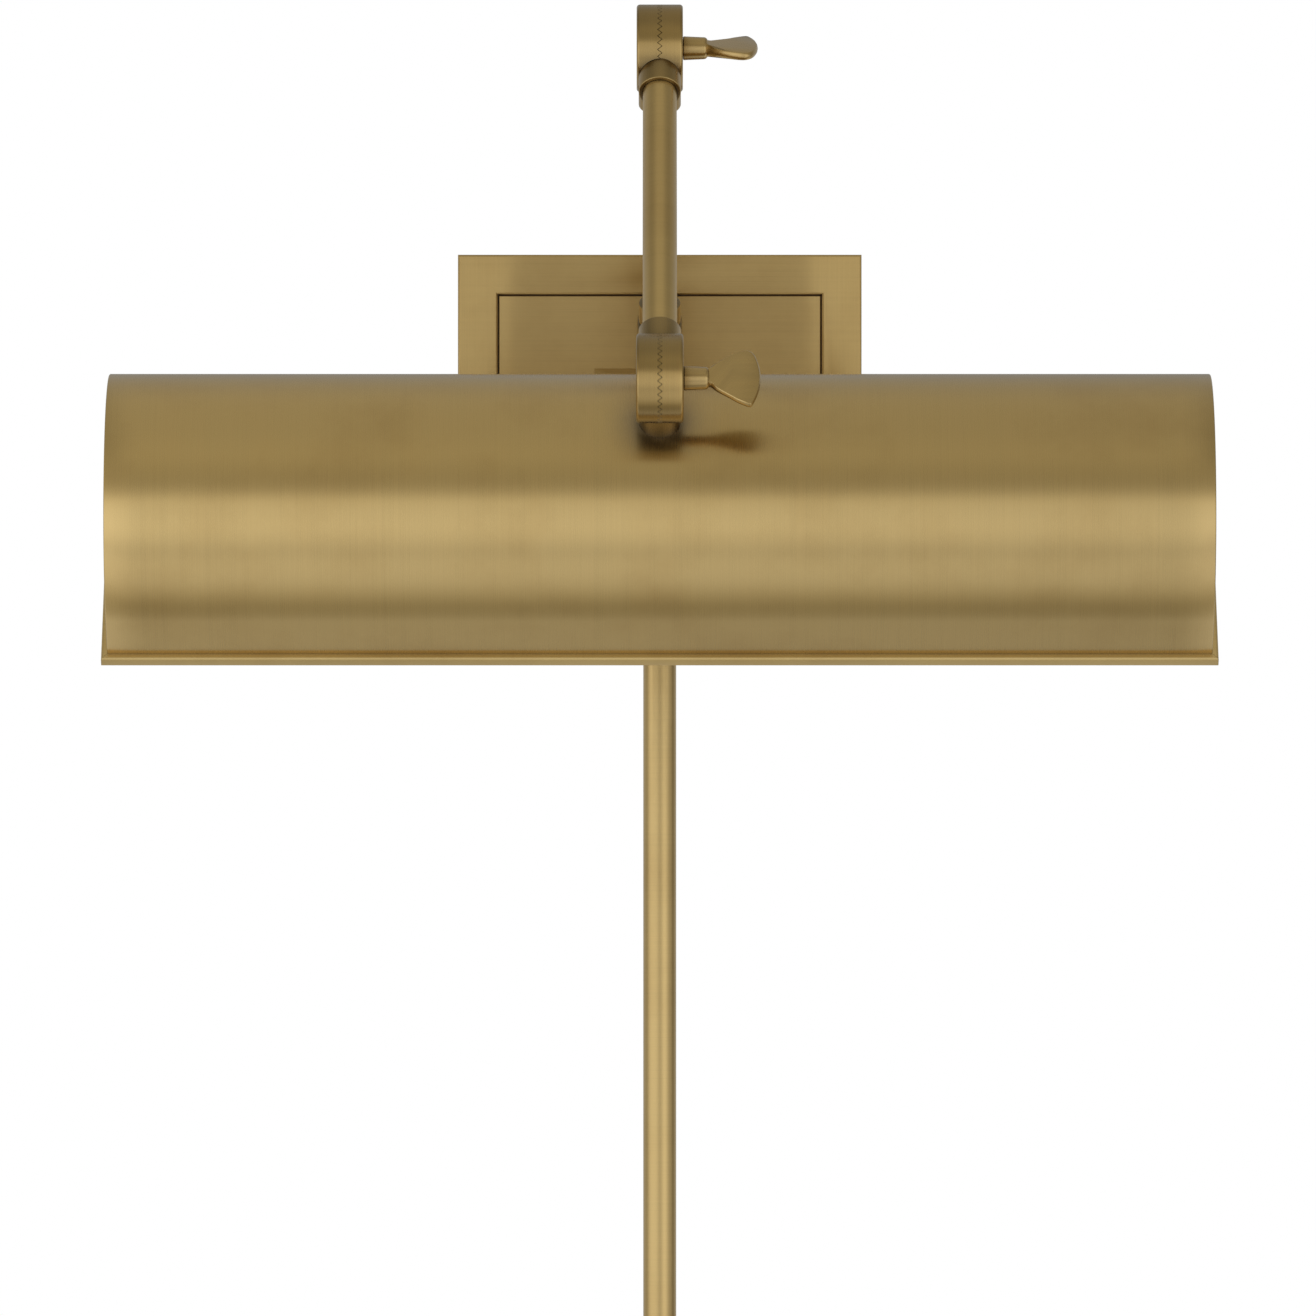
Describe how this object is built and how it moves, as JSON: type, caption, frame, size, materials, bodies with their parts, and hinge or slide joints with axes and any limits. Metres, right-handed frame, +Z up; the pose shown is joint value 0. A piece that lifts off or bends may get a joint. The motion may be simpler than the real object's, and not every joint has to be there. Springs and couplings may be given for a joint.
{
  "type": "picture light",
  "caption": "Wall-mounted picture light: a trough shade on jointed tube arms with serrated swivel knuckles, a stepped wall plate and a straight cord-cover tube.",
  "frame": {"origin": "middle of the wall plate's back face, on the wall", "axes": "+Z up, +X to the right seen from the front, the light stands out from the wall along -Y, and +Y is the outward normal of the face that rests on the wall"},
  "size_m": [0.3084, 0.1967, 0.479],
  "materials": {
    "brushed_brass": "fine brushed antique brass, lacquered",
    "plain_brass": "turned brass",
    "plated_steel": "zinc plated",
    "green_screw": "green passivated",
    "connector_plastic": "moulded",
    "wire_jacket": "extruded",
    "white_jacket": "extruded",
    "white_enamel": "baked white enamel",
    "porcelain": "glazed",
    "lamp_glass": "clear"
  },
  "bodies": {
    "wall_plate": {"backplate_cover": "brushed_brass", "mounting_bracket": "plated_steel", "cover_screws": "plain_brass", "arm_block": "brushed_brass", "block_screws": "plated_steel", "wall_knuckle": "brushed_brass", "wall_clamp_screw": "plain_brass", "ground_screw": "green_screw", "wire_connectors": "connector_plastic", "plate_leads": "wire_jacket", "cord_cover_tube": "brushed_brass", "cord_cover_nipple": "plain_brass", "cord_cover_locknut": "plain_brass", "cord_cover_bush": "plain_brass"},
    "back_arm": {"back_arm_tube": "brushed_brass", "back_arm_lower_knuckle": "brushed_brass", "back_arm_upper_knuckle": "brushed_brass", "back_arm_leads": "wire_jacket"},
    "front_arm": {"front_arm_tube": "brushed_brass", "front_arm_upper_knuckle": "brushed_brass", "front_arm_lower_knuckle": "brushed_brass", "front_arm_leads": "wire_jacket"},
    "elbow_wing": {"elbow_wing_screw": "brushed_brass"},
    "shade_wing": {"shade_wing_screw": "brushed_brass"},
    "shade": {"shade_shell": "brushed_brass", "shade_reflector": "white_enamel", "end_cap_left": "brushed_brass", "end_cap_right": "brushed_brass", "rim_frame": "brushed_brass", "shade_knuckle": "brushed_brass", "shade_nipple": "plain_brass", "shade_saddle": "plated_steel", "shade_locknut": "plated_steel", "socket_bracket": "plated_steel", "socket_screws": "plated_steel", "socket_leads": "white_jacket", "lamp_socket_left": "porcelain", "lamp_socket_right": "porcelain", "socket_shell_left": "plain_brass", "socket_shell_right": "plain_brass", "lamp_base_left": "plain_brass", "lamp_base_right": "plain_brass", "lamp_glass_left": "lamp_glass", "lamp_glass_right": "lamp_glass"}
  },
  "joints": [
    {"name": "wall_pivot", "type": "hinge", "parent": "wall_plate", "child": "back_arm", "pos_m": [0, -0.03352, 0.02212], "axis": [1, 0, 0], "range_deg": [-27, 36]},
    {"name": "elbow", "type": "hinge", "parent": "back_arm", "child": "front_arm", "pos_m": [0, -0.08924, 0.10792], "axis": [1, 0, 0], "range_deg": [-99, 18]},
    {"name": "shade_tilt", "type": "hinge", "parent": "front_arm", "child": "shade", "pos_m": [0, -0.18441, 0.01274], "axis": [1, 0, 0], "range_deg": [-81, 27]},
    {"name": "elbow_wing_turn", "type": "hinge", "parent": "back_arm", "child": "elbow_wing", "pos_m": [0.02, -0.08924, 0.10792], "axis": [1, 0, 0], "range_deg": [0, 360]},
    {"name": "shade_wing_turn", "type": "hinge", "parent": "front_arm", "child": "shade_wing", "pos_m": [0.02, -0.18441, 0.01274], "axis": [1, 0, 0], "range_deg": [0, 360]}
  ]
}
